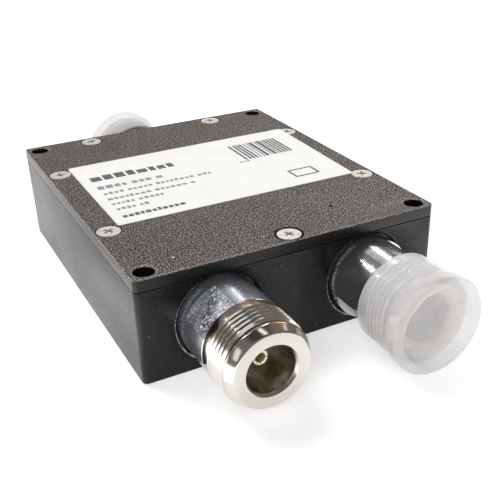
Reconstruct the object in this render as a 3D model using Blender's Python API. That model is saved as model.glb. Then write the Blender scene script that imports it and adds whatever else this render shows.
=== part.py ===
# Two-way radio-frequency power splitter: a milled box with a screwed lid, three threaded coaxial jacks
# and two push-on dust caps. Metres, +Z up. The origin is the middle of the box's underside. The two
# output jacks point along -Y and the input jack along +Y.
import math

import bmesh
import bpy
from mathutils import Matrix

MM = 0.001

# Box and lid. The box is as wide and as high as the seats of its jacks need.
JACK_SPACING = 30.0 * MM
JACK_TO_SIDE = 15.0 * MM
BOX_DEPTH = 71.7 * MM
WALL_UNDER_SEAT = 1.02 * MM
WALL_OVER_SEAT = 0.52 * MM
LID_THICKNESS = 2.3 * MM
LID_SEAM = 0.1 * MM
CORNER_RADIUS = 1.0 * MM
EDGE_BREAK = 0.25 * MM
SIDE_WALL = 5.4 * MM
JACK_WALL = 6.0 * MM
POCKET_RADIUS = 3.0 * MM

# Mounting holes through the four corners
MOUNT_HOLE_RADIUS = 1.65 * MM
MOUNT_INSET_X = 2.85 * MM
MOUNT_INSET_Y = 2.65 * MM

# Countersunk lid screws
LID_SCREW_INSET = 2.72 * MM
SIDE_SCREW_Y = 15.8 * MM
REAR_SCREW_X = 15.2 * MM
LID_SCREW_HEAD = 2.2 * MM
LID_SCREW_LAND = 0.15 * MM
LID_SCREW_CONE = math.radians(41)
LID_SCREW_SHANK = 1.05 * MM
LID_SCREW_GRIP = 5.0 * MM
SCREW_GAP = 0.2 * MM
RECESS_WIDTH = 0.5 * MM
RECESS_SPAN = 2.5 * MM
RECESS_DEPTH = 0.8 * MM
SCREW_POINT = 0.3 * MM

# Label on the lid
LABEL_WIDTH = 49.6 * MM
LABEL_DEPTH = 32.7 * MM
LABEL_CENTRE_Y = 1.5 * MM
LABEL_THICKNESS = 0.2 * MM
LABEL_LIFT = 0.05 * MM
LABEL_RADIUS = 0.8 * MM

# Jack shell, measured along its axis from the wall's outer face
HUB_RADIUS = 7.88 * MM
HUB_LENGTH = 8.9 * MM
GROOVE_WIDTH = 0.4 * MM
GROOVE_DEPTH = 0.25 * MM
THREAD_RADIUS = 7.9375 * MM
THREAD_LENGTH = 6.5 * MM
RELIEF_DEPTH = 0.89 * MM
RELIEF_WIDTH = 0.5 * MM
NOSE_STEP = 0.22 * MM
NOSE_BAND = 0.6 * MM
NOSE_TAPER_LENGTH = 1.55 * MM
NOSE_TAPER_DROP = 0.94 * MM
SOCKET_LIP_WIDTH = 0.5 * MM
SOCKET_LIP_DEPTH = 0.6 * MM
SOCKET_RADIUS = 4.2 * MM
SOCKET_DEPTH = 9.0 * MM
NECK_RADIUS = 5.6 * MM
NECK_BORE_RADIUS = 3.6 * MM
NECK_SHORTFALL = 0.1 * MM
WRENCH_SIZE = 13.9 * MM
FLAT_START = 2.0 * MM

# Seat of a jack in the wall
SEAT_DEPTH = 1.5 * MM
FIT_GAP = 0.3 * MM
SEAT_CHAMFER = 0.3 * MM
BORE_RUNOUT = 1.0 * MM

# Insulator and centre contact
INSULATOR_GAP = 0.2 * MM
INSULATOR_SINK = 0.3 * MM
INSULATOR_PROUD = 0.2 * MM
CONTACT_RADIUS = 1.5 * MM
CONTACT_BELOW_FACE = 4.1 * MM
CONTACT_SEAT_DEPTH = 5.1 * MM
CONTACT_HOLE_RADIUS = 0.85 * MM
CONTACT_HOLE_DEPTH = 6.0 * MM
CONTACT_NOSE = 0.2 * MM
SLOT_WIDTH = 0.35 * MM
SLOT_DEPTH = 4.6 * MM
TAIL_RADIUS = 0.65 * MM
TAIL_LENGTH = 3.5 * MM

# Push-on dust cap, which covers the thread and closes over the jack's face
CAP_LENGTH = 11.6 * MM
CAP_FIT = 0.25 * MM
CAP_WALL = 0.45 * MM
CAP_FLANGE_HEIGHT = 0.6 * MM
CAP_FLANGE_WIDTH = 2.3 * MM
CAP_FLARE_LENGTH = 2.6 * MM
CAP_FLARE_STEPS = 4
CAP_ROUND = 0.5 * MM
CAP_END_WALL = 1.45 * MM
CAP_LIP_WIDTH = 1.45 * MM
CAP_DISH_TAPER = 0.5 * MM
CAP_DISH_DEPTH = 1.3 * MM

# Circuit board, divider track and resistors in the pocket
LAYER_GAP = 0.1 * MM
BOARD_THICKNESS = 0.8 * MM
BOARD_MARGIN = 0.5 * MM
TRACK_THICKNESS = 0.15 * MM
TRACK_MARGIN = 0.8 * MM
PORT_WIDTH = 2.4 * MM
ARM_WIDTH = 1.3 * MM
ARM_GAP = 2.0 * MM
FORK_Y = 14.0 * MM
SPREAD_Y = -12.0 * MM
RESISTOR_LENGTH = 3.2 * MM
RESISTOR_WIDTH = 1.6 * MM
RESISTOR_HEIGHT = 0.6 * MM
RESISTOR_FROM_FORK = (12.0 * MM, 23.0 * MM)

# Pan-head screws that hold the board
BOARD_SCREW_INSET = 2.6 * MM
BOARD_SCREW_SHANK = 1.0 * MM
BOARD_SCREW_HEAD = 1.9 * MM
BOARD_SCREW_HEAD_HEIGHT = 1.3 * MM
BOARD_SCREW_CROWN = 0.4 * MM
BOARD_SCREW_GRIP = 3.5 * MM
DRILL_POINT = 0.5 * MM

# Facets round turned pieces
FACETS = 32
SMALL_FACETS = 16

# Cutters run past what they cut
OVERRUN = 1.0 * MM

SEAT_RADIUS = HUB_RADIUS + FIT_GAP
JACK_HEIGHT = WALL_UNDER_SEAT + SEAT_RADIUS
HOUSING_TOP = JACK_HEIGHT + SEAT_RADIUS + WALL_OVER_SEAT
LID_UNDERSIDE = HOUSING_TOP + LID_SEAM
BOX_HEIGHT = LID_UNDERSIDE + LID_THICKNESS
BOX_WIDTH = JACK_SPACING + 2 * JACK_TO_SIDE
HALF_WIDTH = BOX_WIDTH / 2
HALF_DEPTH = BOX_DEPTH / 2
TRACK_TOP = JACK_HEIGHT - TAIL_RADIUS - LAYER_GAP
BOARD_TOP = TRACK_TOP - TRACK_THICKNESS - LAYER_GAP
BOARD_UNDERSIDE = BOARD_TOP - BOARD_THICKNESS
POCKET_FLOOR = BOARD_UNDERSIDE - LAYER_GAP
POCKET_WIDTH = BOX_WIDTH - 2 * SIDE_WALL
POCKET_DEPTH = BOX_DEPTH - 2 * JACK_WALL
BOARD_WIDTH = POCKET_WIDTH - 2 * BOARD_MARGIN
BOARD_DEPTH = POCKET_DEPTH - 2 * BOARD_MARGIN
HUB_START = FIT_GAP - SEAT_DEPTH
GROOVE_END = HUB_LENGTH + GROOVE_WIDTH
THREAD_END = GROOVE_END + THREAD_LENGTH
RELIEF_END = THREAD_END + RELIEF_WIDTH
BAND_END = RELIEF_END + NOSE_BAND
FACE_POSITION = BAND_END + NOSE_TAPER_LENGTH
SOCKET_FLOOR = FACE_POSITION - SOCKET_DEPTH
CONTACT_TIP = FACE_POSITION - CONTACT_BELOW_FACE
CONTACT_SHOULDER = SOCKET_FLOOR - CONTACT_SEAT_DEPTH
CAP_RISE = CAP_FIT / 2

# Name, place along X, way along Y, angle of the wrench flats and whether it wears a dust cap
JACKS = (
    ("left", -JACK_SPACING / 2, -1, math.radians(130), False),
    ("right", JACK_SPACING / 2, -1, math.radians(38.5), True),
    ("rear", 0.0, 1, math.radians(68), True),
)


def clear_scene():
    for item in list(bpy.data.objects):
        bpy.data.objects.remove(item, do_unlink=True)


def material(name, colour, roughness, metallic=0.0):
    finish = bpy.data.materials.new(name)
    finish.use_nodes = True
    shader = finish.node_tree.nodes["Principled BSDF"]
    shader.inputs["Base Color"].default_value = (*colour, 1.0)
    shader.inputs["Roughness"].default_value = roughness
    shader.inputs["Metallic"].default_value = metallic
    return finish


def add_piece(name, shape, finish=None, parent=None, place=(0, 0, 0), spin=0.0):
    """Makes a named object from a shape, with its origin at a place in its parent's space."""
    bmesh.ops.recalc_face_normals(shape, faces=shape.faces)
    mesh = bpy.data.meshes.new(name)
    shape.to_mesh(mesh)
    shape.free()
    mesh.shade_smooth()
    mesh.set_sharp_from_angle(angle=math.radians(35))
    if finish:
        mesh.materials.append(finish)
    piece = bpy.data.objects.new(name, mesh)
    piece.parent = parent
    piece.location = place
    piece.rotation_euler = (0, 0, spin)
    bpy.context.scene.collection.objects.link(piece)
    return piece


def cut(piece, cutter):
    """Takes a cutter's shape out of a piece and hides the cutter."""
    cutter.hide_render = True
    cutter.display_type = "WIRE"
    boolean = piece.modifiers.new(cutter.name, "BOOLEAN")
    boolean.operation = "DIFFERENCE"
    boolean.solver = "EXACT"
    boolean.object = cutter


def join_shapes(shapes):
    """Puts separate closed shapes into one."""
    whole = bmesh.new()
    for shape in shapes:
        mesh = bpy.data.meshes.new("scrap")
        shape.to_mesh(mesh)
        shape.free()
        whole.from_mesh(mesh)
        bpy.data.meshes.remove(mesh)
    return whole


def moved(shape, x, y, z=0.0):
    bmesh.ops.translate(shape, verts=shape.verts, vec=(x, y, z))
    return shape


def block(width, depth, bottom, top):
    shape = bmesh.new()
    middle = Matrix.Translation((0, 0, (bottom + top) / 2))
    size = Matrix.Diagonal((width, depth, top - bottom, 1))
    bmesh.ops.create_cube(shape, size=1.0, matrix=middle @ size)
    return shape


def rounded_block(width, depth, bottom, top, radius):
    """A block whose four upright edges are rounded."""
    shape = block(width, depth, bottom, top)
    upright = [e for e in shape.edges if abs(e.verts[0].co.z - e.verts[1].co.z) > (top - bottom) / 2]
    bmesh.ops.bevel(shape, geom=upright, offset=radius, segments=4, affect="EDGES", profile=0.5)
    return shape


def break_outline(shape, height, width):
    """Chamfers the edges that lie at one height."""
    tolerance = 0.01 * MM
    rim = [e for e in shape.edges if all(abs(v.co.z - height) < tolerance for v in e.verts)]
    bmesh.ops.bevel(shape, geom=rim, offset=width, segments=1, affect="EDGES")
    return shape


def turned(outline, facets):
    """Spins a closed outline of (radius, height) points round local Z."""
    shape = bmesh.new()
    verts = [shape.verts.new((radius, 0, height)) for radius, height in outline]
    sides = [pair for pair in zip(verts, verts[1:] + verts[:1]) if pair[0].co.x > 0 or pair[1].co.x > 0]
    edges = [shape.edges.new(pair) for pair in sides]
    bmesh.ops.spin(shape, geom=verts + edges, axis=(0, 0, 1), cent=(0, 0, 0), dvec=(0, 0, 0),
                   angle=math.tau, steps=facets, use_merge=True, use_duplicate=False)
    bmesh.ops.remove_doubles(shape, verts=shape.verts, dist=0.001 * MM)
    return shape


def drill(radius, bottom, top, point=0.0):
    """A straight round cutter with an optional drill point."""
    outline = [(0, bottom - point), (radius, bottom), (radius, top), (0, top)]
    return turned(outline, SMALL_FACETS)


def corners(x, y):
    return [(sx * x, sy * y) for sx in (-1, 1) for sy in (-1, 1)]


def mount_holes():
    return corners(HALF_WIDTH - MOUNT_INSET_X, HALF_DEPTH - MOUNT_INSET_Y)


def board_screw_places():
    return corners(BOARD_WIDTH / 2 - BOARD_SCREW_INSET, BOARD_DEPTH / 2 - BOARD_SCREW_INSET)


def lid_screw_places():
    side = HALF_WIDTH - LID_SCREW_INSET
    end = HALF_DEPTH - LID_SCREW_INSET
    return {
        "front": (0.0, -end),
        "left_front": (-side, -SIDE_SCREW_Y),
        "left_rear": (-side, SIDE_SCREW_Y),
        "right_front": (side, -SIDE_SCREW_Y),
        "right_rear": (side, SIDE_SCREW_Y),
        "rear_left": (-REAR_SCREW_X, end),
        "rear_right": (REAR_SCREW_X, end),
    }


def jack_axes():
    """An empty for each jack on the wall's outer face, with local Z along the jack."""
    axes = {}
    for name, x, way, _, _ in JACKS:
        axis = bpy.data.objects.new("jack_axis_" + name, None)
        axis.location = (x, way * HALF_DEPTH, JACK_HEIGHT)
        axis.rotation_euler = (-way * math.pi / 2, 0, 0)
        bpy.context.scene.collection.objects.link(axis)
        axes[name] = axis
    return axes


def add_housing(axes, finish):
    shape = rounded_block(BOX_WIDTH, BOX_DEPTH, 0, HOUSING_TOP, CORNER_RADIUS)
    housing = add_piece("housing", break_outline(shape, 0, EDGE_BREAK), finish)

    pocket = rounded_block(POCKET_WIDTH, POCKET_DEPTH, POCKET_FLOOR, HOUSING_TOP + OVERRUN, POCKET_RADIUS)
    cut(housing, add_piece("pocket_cutter", pocket))

    screw_hole = LID_SCREW_SHANK + SCREW_GAP
    screw_depth = HOUSING_TOP - LID_SCREW_GRIP - FIT_GAP
    board_hole = BOARD_SCREW_SHANK + SCREW_GAP
    board_depth = POCKET_FLOOR - BOARD_SCREW_GRIP - FIT_GAP
    above = HOUSING_TOP + OVERRUN
    drills = [moved(drill(MOUNT_HOLE_RADIUS, -OVERRUN, above), *spot) for spot in mount_holes()]
    for spot in lid_screw_places().values():
        drills.append(moved(drill(screw_hole, screw_depth, above, DRILL_POINT), *spot))
    for spot in board_screw_places():
        drills.append(moved(drill(board_hole, board_depth, POCKET_FLOOR + OVERRUN, DRILL_POINT), *spot))
    cut(housing, add_piece("housing_drills", join_shapes(drills)))

    bore = NECK_RADIUS + FIT_GAP
    mouth = SEAT_RADIUS + SEAT_CHAMFER + OVERRUN
    outline = [
        (0, -JACK_WALL - BORE_RUNOUT),
        (bore, -JACK_WALL - BORE_RUNOUT),
        (bore, -SEAT_DEPTH),
        (SEAT_RADIUS, -SEAT_DEPTH),
        (SEAT_RADIUS, -SEAT_CHAMFER),
        (mouth, OVERRUN),
        (0, OVERRUN),
    ]
    for name, axis in axes.items():
        cut(housing, add_piece("jack_bore_" + name, turned(outline, FACETS), parent=axis))


def lid_screw_outline(gap, bottom, top):
    """A countersunk head on its shank, or the hole for it with a gap all round. Zero is the lid's face."""
    cone = (LID_SCREW_HEAD - LID_SCREW_SHANK) / math.tan(LID_SCREW_CONE)
    return [
        (LID_SCREW_SHANK + gap, bottom),
        (LID_SCREW_SHANK + gap, -LID_SCREW_LAND - cone),
        (LID_SCREW_HEAD + gap, -LID_SCREW_LAND),
        (LID_SCREW_HEAD + gap, top),
        (0, top),
    ]


def add_lid(finish):
    shape = rounded_block(BOX_WIDTH, BOX_DEPTH, LID_UNDERSIDE, BOX_HEIGHT, CORNER_RADIUS)
    lid = add_piece("lid", break_outline(shape, BOX_HEIGHT, EDGE_BREAK), finish)
    below = -LID_THICKNESS - OVERRUN
    cutters = [moved(drill(MOUNT_HOLE_RADIUS, below, OVERRUN), *spot) for spot in mount_holes()]
    sink = [(0, below)] + lid_screw_outline(SCREW_GAP, below, OVERRUN)
    for spot in lid_screw_places().values():
        cutters.append(moved(turned(sink, SMALL_FACETS), *spot))
    cut(lid, add_piece("lid_cutters", join_shapes(cutters), place=(0, 0, BOX_HEIGHT)))


def cross_recess(top):
    """Two crossed bars that cut a screw's driving recess."""
    bars = block(RECESS_SPAN, RECESS_WIDTH, top - RECESS_DEPTH, top + OVERRUN)
    across = block(RECESS_WIDTH, RECESS_SPAN, top - RECESS_DEPTH, top + OVERRUN)
    return bars, across


def add_screw(name, outline, top, place, finish):
    screw = add_piece(name, turned(outline, SMALL_FACETS), finish, place=place)
    for count, bar in enumerate(cross_recess(top)):
        cut(screw, add_piece(f"{name}_recess_{count}", bar, place=place))


def add_lid_screws(finish):
    end = -LID_THICKNESS - LID_SEAM - LID_SCREW_GRIP
    shank = lid_screw_outline(0, end + SCREW_POINT, 0)
    outline = [(0, end), (LID_SCREW_SHANK - SCREW_POINT, end)] + shank
    for name, (x, y) in lid_screw_places().items():
        add_screw("lid_screw_" + name, outline, 0, (x, y, BOX_HEIGHT), finish)


def add_label(finish):
    bottom = BOX_HEIGHT + LABEL_LIFT
    shape = rounded_block(LABEL_WIDTH, LABEL_DEPTH, bottom, bottom + LABEL_THICKNESS, LABEL_RADIUS)
    add_piece("label", shape, finish, place=(0, LABEL_CENTRE_Y, 0))


def jack_outline():
    """Half section of a jack's shell: neck, hub, groove, threaded barrel, relief, nose and socket."""
    neck_end = NECK_SHORTFALL - JACK_WALL
    lip_floor = FACE_POSITION - SOCKET_LIP_DEPTH
    lip = SOCKET_RADIUS + SOCKET_LIP_WIDTH
    band = THREAD_RADIUS - NOSE_STEP
    relief = THREAD_RADIUS - RELIEF_DEPTH
    groove = HUB_RADIUS - GROOVE_DEPTH
    inner = [
        (NECK_BORE_RADIUS, neck_end),
        (NECK_BORE_RADIUS, SOCKET_FLOOR),
        (SOCKET_RADIUS, SOCKET_FLOOR),
        (SOCKET_RADIUS, lip_floor),
        (lip, FACE_POSITION),
    ]
    nose = [(band - NOSE_TAPER_DROP, FACE_POSITION), (band, BAND_END)]
    outer = [
        (band, RELIEF_END),
        (relief, RELIEF_END),
        (relief, THREAD_END),
        (THREAD_RADIUS, THREAD_END),
        (THREAD_RADIUS, GROOVE_END),
        (groove, GROOVE_END),
        (groove, HUB_LENGTH),
        (HUB_RADIUS, HUB_LENGTH),
        (HUB_RADIUS, HUB_START),
        (NECK_RADIUS, HUB_START),
        (NECK_RADIUS, neck_end),
    ]
    return inner + nose + outer


def add_shell(name, axis, flat_angle, finish):
    shell = add_piece("jack_shell_" + name, turned(jack_outline(), FACETS), finish, axis)
    depth = HUB_RADIUS
    distance = WRENCH_SIZE / 2 + depth / 2
    flats = []
    for side in (-1, 1):
        flat = block(depth, 3 * HUB_RADIUS, FLAT_START, HUB_LENGTH + GROOVE_WIDTH / 2)
        flats.append(moved(flat, side * distance, 0))
    cut(shell, add_piece("wrench_flats_" + name, join_shapes(flats), parent=axis, spin=flat_angle))


def add_insulator(name, axis, finish):
    front = SOCKET_FLOOR - INSULATOR_SINK
    back = -JACK_WALL - INSULATOR_PROUD
    step = CONTACT_SHOULDER - INSULATOR_GAP
    outer = NECK_BORE_RADIUS - INSULATOR_GAP
    wide = CONTACT_RADIUS + INSULATOR_GAP
    narrow = TAIL_RADIUS + INSULATOR_GAP
    outline = [(narrow, back), (narrow, step), (wide, step), (wide, front), (outer, front), (outer, back)]
    add_piece("insulator_" + name, turned(outline, SMALL_FACETS), finish, axis)


def add_contact(name, axis, finish):
    """A slotted socket on a thin tail that reaches over the board."""
    hole_floor = CONTACT_TIP - CONTACT_HOLE_DEPTH
    tail_end = -JACK_WALL - TAIL_LENGTH
    outline = [
        (0, tail_end),
        (TAIL_RADIUS, tail_end),
        (TAIL_RADIUS, CONTACT_SHOULDER),
        (CONTACT_RADIUS, CONTACT_SHOULDER),
        (CONTACT_RADIUS, CONTACT_TIP - CONTACT_NOSE),
        (CONTACT_RADIUS - CONTACT_NOSE, CONTACT_TIP),
        (CONTACT_HOLE_RADIUS, CONTACT_TIP),
        (CONTACT_HOLE_RADIUS, hole_floor),
        (0, hole_floor),
    ]
    contact = add_piece("contact_" + name, turned(outline, SMALL_FACETS), finish, axis)
    span = 2 * (CONTACT_RADIUS + OVERRUN)
    for count in range(2):
        slot = block(span, SLOT_WIDTH, CONTACT_TIP - SLOT_DEPTH, CONTACT_TIP + OVERRUN)
        turn = math.pi / 4 + count * math.pi / 2
        cut(contact, add_piece(f"contact_slot_{name}_{count}", slot, parent=axis, spin=turn))


def cap_outline():
    """Half section of a dust cap: open tube, concave flare, flange, rounded end and shallow dish."""
    inside = THREAD_RADIUS + CAP_FIT
    outside = inside + CAP_WALL
    flange = outside + CAP_FLANGE_HEIGHT
    end_inside = FACE_POSITION + FIT_GAP
    dish_floor = end_inside + CAP_END_WALL
    end = dish_floor + CAP_DISH_DEPTH
    rim = end - CAP_LENGTH
    dish = flange - CAP_ROUND - CAP_LIP_WIDTH
    outline = [(0, end_inside), (inside, end_inside), (inside, rim), (outside, rim)]
    for step in range(CAP_FLARE_STEPS + 1):
        share = step / CAP_FLARE_STEPS
        height = end - CAP_FLANGE_WIDTH - CAP_FLARE_LENGTH * (1 - share)
        outline.append((outside + CAP_FLANGE_HEIGHT * share ** 2, height))
    outline += [
        (flange, end - CAP_ROUND),
        (flange - CAP_ROUND, end),
        (dish, end),
        (dish - CAP_DISH_TAPER, dish_floor),
        (0, dish_floor),
    ]
    return outline


def add_cap(name, way, axis, finish):
    rise = -way * CAP_RISE
    add_piece("dust_cap_" + name, turned(cap_outline(), FACETS), finish, axis, place=(0, rise, 0))


def add_board(finish):
    corner = POCKET_RADIUS - BOARD_MARGIN
    shape = rounded_block(BOARD_WIDTH, BOARD_DEPTH, BOARD_UNDERSIDE, BOARD_TOP, corner)
    board = add_piece("circuit_board", shape, finish)
    radius = BOARD_SCREW_SHANK + SCREW_GAP
    holes = [moved(drill(radius, BOARD_UNDERSIDE - OVERRUN, BOARD_TOP + OVERRUN), *spot)
             for spot in board_screw_places()]
    cut(board, add_piece("board_drills", join_shapes(holes)))


def add_track(finish):
    """A line from the rear jack that forks into two arms, one to each front jack."""
    end = BOARD_DEPTH / 2 - TRACK_MARGIN
    port = PORT_WIDTH / 2
    near = ARM_GAP / 2
    far = near + ARM_WIDTH
    out = JACK_SPACING / 2
    half = [
        (port, end),
        (port, FORK_Y + ARM_WIDTH),
        (far, FORK_Y + ARM_WIDTH),
        (far, SPREAD_Y),
        (out + port, SPREAD_Y),
        (out + port, -end),
        (out - port, -end),
        (out - port, SPREAD_Y - PORT_WIDTH),
        (near, SPREAD_Y - PORT_WIDTH),
        (near, FORK_Y),
    ]
    outline = half + [(-x, y) for x, y in reversed(half)]
    shape = bmesh.new()
    flat = shape.faces.new([shape.verts.new((x, y, TRACK_TOP - TRACK_THICKNESS)) for x, y in outline])
    raised = bmesh.ops.extrude_face_region(shape, geom=[flat])["geom"]
    top = [item for item in raised if isinstance(item, bmesh.types.BMVert)]
    bmesh.ops.translate(shape, verts=top, vec=(0, 0, TRACK_THICKNESS))
    add_piece("divider_track", shape, finish)


def add_resistors(finish):
    bottom = TRACK_TOP + LAYER_GAP
    for count, distance in enumerate(RESISTOR_FROM_FORK, start=1):
        chip = block(RESISTOR_LENGTH, RESISTOR_WIDTH, bottom, bottom + RESISTOR_HEIGHT)
        add_piece(f"resistor_{count}", chip, finish, place=(0, FORK_Y - distance, 0))


def add_board_screws(finish):
    seat = BOARD_TOP + LAYER_GAP
    top = seat + BOARD_SCREW_HEAD_HEIGHT
    end = POCKET_FLOOR - BOARD_SCREW_GRIP
    outline = [
        (0, end),
        (BOARD_SCREW_SHANK - SCREW_POINT, end),
        (BOARD_SCREW_SHANK, end + SCREW_POINT),
        (BOARD_SCREW_SHANK, seat),
        (BOARD_SCREW_HEAD, seat),
        (BOARD_SCREW_HEAD, top - BOARD_SCREW_CROWN),
        (BOARD_SCREW_HEAD - BOARD_SCREW_CROWN, top),
        (0, top),
    ]
    for count, (x, y) in enumerate(board_screw_places(), start=1):
        add_screw(f"board_screw_{count}", outline, top, (x, y, 0), finish)


def main():
    clear_scene()
    satin_black = material("satin_black", (0.03, 0.03, 0.032), 0.45)
    textured_coat = material("textured_coat", (0.11, 0.1, 0.095), 0.6)
    paper = material("label_white", (0.85, 0.85, 0.84), 0.5)
    zinc = material("zinc_screw", (0.6, 0.6, 0.58), 0.35, 1.0)
    nickel = material("nickel_plate", (0.72, 0.7, 0.66), 0.12, 1.0)
    fluoropolymer = material("white_insulator", (0.85, 0.85, 0.82), 0.5)
    gold = material("gold_plate", (0.8, 0.6, 0.25), 0.2, 1.0)
    soft_plastic = material("cap_plastic", (0.85, 0.85, 0.83), 0.35)
    laminate = material("board_laminate", (0.75, 0.72, 0.6), 0.5)
    copper = material("copper_track", (0.75, 0.4, 0.25), 0.3, 1.0)
    ceramic = material("resistor_black", (0.03, 0.03, 0.03), 0.5)
    steel = material("steel_screw", (0.5, 0.5, 0.5), 0.3, 1.0)

    axes = jack_axes()
    add_housing(axes, satin_black)
    add_lid(textured_coat)
    add_lid_screws(zinc)
    add_label(paper)
    for name, _, way, flat_angle, capped in JACKS:
        add_shell(name, axes[name], flat_angle, nickel)
        add_insulator(name, axes[name], fluoropolymer)
        add_contact(name, axes[name], gold)
        if capped:
            add_cap(name, way, axes[name], soft_plastic)
    add_board(laminate)
    add_track(copper)
    add_resistors(ceramic)
    add_board_screws(steel)


main()
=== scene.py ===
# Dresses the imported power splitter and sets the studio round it. Shapes are worked in millimetres and
# brought to metres when a piece is put in its place.
import math
import random

import bpy
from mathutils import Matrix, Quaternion, Vector


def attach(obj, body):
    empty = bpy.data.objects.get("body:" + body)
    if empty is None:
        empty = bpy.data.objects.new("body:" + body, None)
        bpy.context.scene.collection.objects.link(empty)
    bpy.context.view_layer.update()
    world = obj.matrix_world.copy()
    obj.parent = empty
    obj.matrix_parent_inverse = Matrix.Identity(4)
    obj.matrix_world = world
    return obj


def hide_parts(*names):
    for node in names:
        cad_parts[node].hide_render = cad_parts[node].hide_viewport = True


mm = 0.001
mergeReach = 0.0005  # points closer than this become one
nearly = 0.001  # heights and places that differ by less are the same
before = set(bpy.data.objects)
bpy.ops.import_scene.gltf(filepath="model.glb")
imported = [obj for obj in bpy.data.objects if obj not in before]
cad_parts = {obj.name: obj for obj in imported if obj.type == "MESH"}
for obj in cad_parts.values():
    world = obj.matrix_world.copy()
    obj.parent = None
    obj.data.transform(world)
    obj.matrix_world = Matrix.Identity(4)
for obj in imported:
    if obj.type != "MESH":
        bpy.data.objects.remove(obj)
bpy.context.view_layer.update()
print("frame loaded:", len(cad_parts), "nodes")


# small modelling helpers

def useOnly(piece):
    bpy.ops.object.select_all(action="DESELECT")
    piece.select_set(True)
    bpy.context.view_layer.objects.active = piece


def editMode(on):
    bpy.ops.object.mode_set(mode="EDIT" if on else "OBJECT")


def pickFaces(piece, test):
    # leaves edit mode on, with the faces selected whose middle and normal pass the test
    useOnly(piece)
    editMode(True)
    bpy.ops.mesh.select_mode(type="FACE")
    bpy.ops.mesh.select_all(action="DESELECT")
    editMode(False)
    for face in piece.data.polygons:
        face.select = bool(test(face.center, face.normal))
    editMode(True)


def pickEdges(piece, test):
    # leaves edit mode on, with the edges selected whose two ends pass the test
    useOnly(piece)
    editMode(True)
    bpy.ops.mesh.select_mode(type="EDGE")
    bpy.ops.mesh.select_all(action="DESELECT")
    editMode(False)
    points = [vertex.co for vertex in piece.data.vertices]
    for edge in piece.data.edges:
        edge.select = bool(test(points[edge.vertices[0]], points[edge.vertices[1]]))
    editMode(True)


def addBlock(name, low, high):
    bpy.ops.mesh.primitive_cube_add(size=1, location=(Vector(low) + Vector(high)) / 2)
    block = bpy.context.object
    block.name = name
    block.scale = Vector(high) - Vector(low)
    bpy.ops.object.transform_apply(location=True, rotation=True, scale=True)
    return block


def roundUprights(block, radius, steps):
    pickEdges(block, lambda a, b: abs(a.z - b.z) > 0.1 and (a.xy - b.xy).length < nearly)
    bpy.ops.mesh.bevel(offset=radius, segments=steps, affect="EDGES")
    editMode(False)


def roundOutline(block, height, size, steps):
    pickEdges(block, lambda a, b: abs(a.z - height) < nearly and abs(b.z - height) < nearly)
    bpy.ops.mesh.bevel(offset=size, segments=steps, affect="EDGES")
    editMode(False)


def eased(profile, ease):
    # each corner of a (radius, height) profile is taken off by a short curve, unless it hardly turns
    blunt = math.radians(165)
    points = []
    for index, (radius, height) in enumerate(profile):
        corner = Vector((radius, height))
        if index in (0, len(profile) - 1):
            points.append(tuple(corner))
            continue
        before, after = Vector(profile[index - 1]) - corner, Vector(profile[index + 1]) - corner
        if before.angle(after, math.pi) > blunt:
            points.append(tuple(corner))
            continue
        reach = min(ease, before.length * 0.4, after.length * 0.4)
        start, end = corner + before.normalized() * reach, corner + after.normalized() * reach
        points += [tuple(start), tuple(corner * 0.5 + (start + end) * 0.25), tuple(end)]
    return points


def closeUp():
    # in edit mode: merges points that meet, fills open ends and turns all faces outward
    bpy.ops.mesh.select_all(action="SELECT")
    bpy.ops.mesh.remove_doubles(threshold=mergeReach)
    bpy.ops.mesh.select_all(action="SELECT")
    bpy.ops.mesh.fill_holes(sides=0)
    bpy.ops.mesh.select_all(action="SELECT")
    bpy.ops.mesh.normals_make_consistent(inside=False)


def turnPiece(name, profile, facets):
    # a ring is drawn out from point to point of a (radius, height) profile; open ends are closed flat
    radius, height = profile[0]
    bpy.ops.object.select_all(action="DESELECT")
    bpy.ops.mesh.primitive_circle_add(vertices=facets, radius=radius, location=(0, 0, height))
    piece = bpy.context.object
    piece.name = name
    bpy.ops.object.transform_apply(location=True, rotation=True, scale=True)
    editMode(True)
    bpy.ops.mesh.select_mode(type="EDGE")
    bpy.ops.mesh.select_all(action="SELECT")
    for newRadius, newHeight in profile[1:]:
        bpy.ops.mesh.extrude_region_move(TRANSFORM_OT_translate={"value": (0, 0, newHeight - height)})
        share = newRadius / radius
        bpy.ops.transform.resize(value=(share, share, 1), center_override=(0, 0, newHeight))
        radius, height = newRadius, newHeight
    closeUp()
    editMode(False)
    return piece


def copyPiece(piece, name):
    twin = piece.copy()
    twin.data = piece.data.copy()
    twin.name = name
    bpy.context.scene.collection.objects.link(twin)
    return twin


def joinPieces(pieces):
    bpy.ops.object.select_all(action="DESELECT")
    for piece in pieces:
        piece.select_set(True)
    bpy.context.view_layer.objects.active = pieces[0]
    bpy.ops.object.join()
    return pieces[0]


def cutAway(piece, cutter):
    useOnly(piece)
    cut = piece.modifiers.new("cut", "BOOLEAN")
    cut.operation = "DIFFERENCE"
    cut.solver = "EXACT"
    cut.object = cutter
    bpy.ops.object.modifier_apply(modifier=cut.name)
    bpy.data.objects.remove(cutter, do_unlink=True)


def giveSlot(piece, place, test):
    # faces that pass the test take the finish of a further slot
    while len(piece.data.materials) <= place:
        piece.data.materials.append(None)
    pickFaces(piece, test)
    piece.active_material_index = place
    bpy.ops.object.material_slot_assign()
    editMode(False)


def turnAndMove(piece, turn=(0, 0, 0), place=(0, 0, 0)):
    useOnly(piece)
    piece.rotation_euler = turn
    piece.location = place
    bpy.ops.object.transform_apply(location=True, rotation=True, scale=True)


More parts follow.
